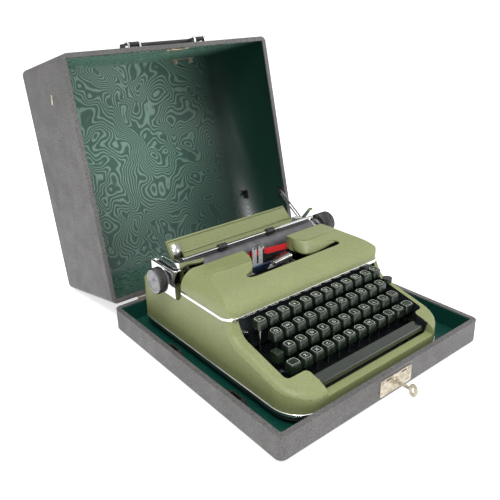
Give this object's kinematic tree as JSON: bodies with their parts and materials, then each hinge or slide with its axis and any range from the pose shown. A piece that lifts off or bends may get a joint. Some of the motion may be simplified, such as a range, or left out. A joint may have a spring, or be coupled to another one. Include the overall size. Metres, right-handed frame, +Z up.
{
  "type": "typewriter",
  "caption": "Portable manual typewriter with a green enamel body standing in the tray of its grey carrying case, lid open behind it.",
  "frame": {"origin": "centre of the carrying case's footprint on the table, under the tray's feet", "axes": "+X to the typist's right, +Y from the typist towards the hinges and the open lid, +Z up"},
  "size_m": [0.356, 0.6205, 0.3877],
  "materials": {
    "case_cloth": "fine grained grey leathercloth",
    "lining_cloth": "dark green figured lining",
    "foot_rubber": "matt",
    "lock_enamel": "cream, satin",
    "bright_metal": "bright plated",
    "dark_plastic": "gloss",
    "handle_leather": "smooth",
    "green_enamel": "fine crackle enamel",
    "dark_enamel": "satin",
    "plain_steel": "dull plated",
    "ribbon_cloth": "inked cloth",
    "spool_metal": "satin black",
    "platen_rubber": "smooth matt"
  },
  "bodies": {
    "case_base": {"case_tray": "case_cloth", "tray_lining": "lining_cloth", "case_feet": "foot_rubber", "lock_plate": "lock_enamel", "tray_brackets": "dark_plastic", "tray_hinges": "bright_metal", "machine_feet": "foot_rubber", "base_pan": "dark_enamel", "body_shell": "green_enamel", "trim_strip": "bright_metal", "frame_plates": "dark_enamel", "lever_shafts": "plain_steel", "carriage_rail": "dark_enamel", "type_guide": "bright_metal", "ribbon": "ribbon_cloth", "spool_cups": "dark_enamel"},
    "case_key": {"case_key": "bright_metal"},
    "lid": {"lid_shell": "case_cloth", "lid_lining": "lining_cloth", "lid_hinges": "bright_metal", "handle_mounts": "bright_metal", "lid_hasp": "bright_metal", "tool_clip": "bright_metal", "stay_bracket": "bright_metal"},
    "handle": {"handle_grip": "handle_leather"},
    "stay": {"lid_stay": "bright_metal"},
    "cover": {"top_cover": "green_enamel"},
    "selector": {"ribbon_selector": "dark_plastic"},
    "row_1": {"key_caps_row_1": "dark_plastic", "key_levers_row_1": "plain_steel"},
    "row_2": {"key_caps_row_2": "dark_plastic", "key_levers_row_2": "plain_steel"},
    "row_3": {"key_caps_row_3": "dark_plastic", "key_levers_row_3": "plain_steel"},
    "row_4": {"key_caps_row_4": "dark_plastic", "key_levers_row_4": "plain_steel"},
    "home_key": {"home_key": "dark_plastic"},
    "backspace": {"backspace_key": "dark_plastic"},
    "tabulator": {"tabulator_key": "dark_plastic"},
    "shift": {"shift_keys": "dark_plastic", "shift_levers": "plain_steel"},
    "shift_lock": {"shift_lock_key": "dark_plastic"},
    "space": {"space_bar": "dark_plastic", "space_bar_arms": "plain_steel"},
    "basket": {"type_bars": "plain_steel", "type_segment": "plain_steel"},
    "home_bar": {"type_bar_home": "plain_steel"},
    "ribbon_guide": {"ribbon_guide": "bright_metal"},
    "spool_left": {"ribbon_spool_left": "spool_metal"},
    "spool_right": {"ribbon_spool_right": "spool_metal"},
    "cage": {"carriage_cage": "plain_steel"},
    "carriage": {"carriage_frame": "bright_metal", "paper_table": "green_enamel"},
    "platen": {"platen": "platen_rubber", "platen_shaft": "bright_metal", "platen_knobs": "dark_plastic"},
    "bail": {"paper_bail": "bright_metal"},
    "bail_rollers": {"bail_rollers": "platen_rubber"},
    "line_lever": {"line_space_lever": "bright_metal"},
    "release": {"release_lever": "bright_metal"}
  },
  "joints": [
    {"name": "lid_hinge", "type": "hinge", "parent": "case_base", "child": "lid", "pos_m": [0, 0.1782, 0.0352], "axis": [-1, 0, 0], "range_deg": [-102.5, 0]},
    {"name": "handle_swing", "type": "hinge", "parent": "lid", "child": "handle", "pos_m": [0, 0.27493, 0.38373], "axis": [1, 0, 0], "range_deg": [0, 100]},
    {"name": "lid_stay_hinge", "type": "hinge", "parent": "lid", "child": "stay", "pos_m": [0.166, 0.20397, 0.12372], "axis": [-1, 0, 0], "range_deg": [0, 137.5]},
    {"name": "case_key_turn", "type": "hinge", "parent": "case_base", "child": "case_key", "pos_m": [0.004, -0.178, 0.019], "axis": [0, 1, 0], "range_deg": [0, 90]},
    {"name": "top_cover_hinge", "type": "hinge", "parent": "case_base", "child": "cover", "pos_m": [-0.01, 0.044, 0.117], "axis": [-1, 0, 0], "range_deg": [0, 25]},
    {"name": "ribbon_selector_turn", "type": "hinge", "parent": "case_base", "child": "selector", "pos_m": [-0.1205, -0.047, 0.073], "axis": [0, 1, 0], "range_deg": [0, 60]},
    {"name": "row_1_press", "type": "hinge", "parent": "case_base", "child": "row_1", "pos_m": [0, 0.118, 0.036], "axis": [1, 0, 0], "range_deg": [0, 2.9], "stiffness_Nm_per_rad": 0.6, "springref_deg": -40.11},
    {"name": "row_2_press", "type": "hinge", "parent": "case_base", "child": "row_2", "pos_m": [0, 0.118, 0.036], "axis": [1, 0, 0], "range_deg": [0, 2.63], "stiffness_Nm_per_rad": 0.6, "springref_deg": -40.11},
    {"name": "row_3_press", "type": "hinge", "parent": "case_base", "child": "row_3", "pos_m": [0, 0.118, 0.036], "axis": [1, 0, 0], "range_deg": [0, 2.42], "stiffness_Nm_per_rad": 0.6, "springref_deg": -40.11},
    {"name": "row_4_press", "type": "hinge", "parent": "case_base", "child": "row_4", "pos_m": [0, 0.118, 0.036], "axis": [1, 0, 0], "range_deg": [0, 2.23], "stiffness_Nm_per_rad": 0.6, "springref_deg": -40.11},
    {"name": "home_key_press", "type": "hinge", "parent": "case_base", "child": "home_key", "pos_m": [-0.0174, 0.118, 0.036], "axis": [1, 0, 0], "range_deg": [0, 2.42], "stiffness_Nm_per_rad": 0.3, "springref_deg": -28.65},
    {"name": "backspace_press", "type": "hinge", "parent": "case_base", "child": "backspace", "pos_m": [-0.1057, 0.118, 0.036], "axis": [1, 0, 0], "range_deg": [0, 2.9], "stiffness_Nm_per_rad": 0.1, "springref_deg": -28.65},
    {"name": "tabulator_press", "type": "hinge", "parent": "case_base", "child": "tabulator", "pos_m": [0.108, 0.118, 0.036], "axis": [1, 0, 0], "range_deg": [0, 1.6], "stiffness_Nm_per_rad": 0.1, "springref_deg": -28.65},
    {"name": "shift_press", "type": "hinge", "parent": "case_base", "child": "shift", "pos_m": [0, 0.118, 0.036], "axis": [1, 0, 0], "range_deg": [0, 2.23], "stiffness_Nm_per_rad": 1.2, "springref_deg": -34.38},
    {"name": "shift_lock_press", "type": "slide", "parent": "shift", "child": "shift_lock", "axis": [0, 0, -1], "range_m": [0, 0.004], "stiffness_N_per_m": 20, "springref_m": -0.01},
    {"name": "space_bar_press", "type": "hinge", "parent": "case_base", "child": "space", "pos_m": [0, 0.045, 0.0255], "axis": [1, 0, 0], "range_deg": [0, 2.4], "stiffness_Nm_per_rad": 0.4, "springref_deg": -34.38},
    {"name": "basket_shift", "type": "slide", "parent": "case_base", "child": "basket", "axis": [0, 0, -1], "range_m": [0, 0.007]},
    {"name": "home_type_bar_swing", "type": "hinge", "parent": "basket", "child": "home_bar", "pos_m": [-0.01, 0.045, 0.064], "axis": [-1, 0, 0], "range_deg": [0, 109]},
    {"name": "ribbon_guide_lift", "type": "slide", "parent": "case_base", "child": "ribbon_guide", "axis": [0, 0, 1], "range_m": [0, 0.008]},
    {"name": "ribbon_spool_left_turn", "type": "hinge", "parent": "case_base", "child": "spool_left", "pos_m": [-0.098, 0.008, 0.107], "axis": [0, 0, 1], "continuous": true},
    {"name": "ribbon_spool_right_turn", "type": "hinge", "parent": "case_base", "child": "spool_right", "pos_m": [0.078, 0.008, 0.107], "axis": [0, 0, 1], "continuous": true},
    {"name": "carriage_cage_slide", "type": "slide", "parent": "case_base", "child": "cage", "axis": [1, 0, 0], "range_m": [0, 0.1]},
    {"name": "carriage_slide", "type": "slide", "parent": "cage", "child": "carriage", "axis": [-1, 0, 0], "range_m": [0, 0.1]},
    {"name": "platen_turn", "type": "hinge", "parent": "carriage", "child": "platen", "pos_m": [-0.01, 0.076, 0.11], "axis": [1, 0, 0], "continuous": true},
    {"name": "paper_bail_lift", "type": "hinge", "parent": "carriage", "child": "bail", "pos_m": [-0.01, 0.097, 0.118], "axis": [-1, 0, 0], "range_deg": [0, 60]},
    {"name": "bail_rollers_turn", "type": "hinge", "parent": "bail", "child": "bail_rollers", "pos_m": [-0.01, 0.0687, 0.1304], "axis": [1, 0, 0], "continuous": true},
    {"name": "line_space_swing", "type": "hinge", "parent": "carriage", "child": "line_lever", "pos_m": [-0.14, 0.106, 0.124], "axis": [0, 0, 1], "range_deg": [0, 10], "stiffness_Nm_per_rad": 0.05, "springref_deg": -17.19},
    {"name": "release_lever_pull", "type": "hinge", "parent": "carriage", "child": "release", "pos_m": [0.119, 0.104, 0.112], "axis": [1, 0, 0], "range_deg": [0, 15]}
  ],
  "couplings": [
    {"joint": "lid_stay_hinge", "follows": "lid_hinge", "ratio": -1.3414},
    {"joint": "home_type_bar_swing", "follows": "home_key_press", "ratio": 45},
    {"joint": "ribbon_guide_lift", "follows": "home_key_press", "m_per_rad": 0.189},
    {"joint": "basket_shift", "follows": "shift_press", "m_per_rad": 0.179},
    {"joint": "ribbon_spool_right_turn", "follows": "ribbon_spool_left_turn", "ratio": 1}
  ]
}
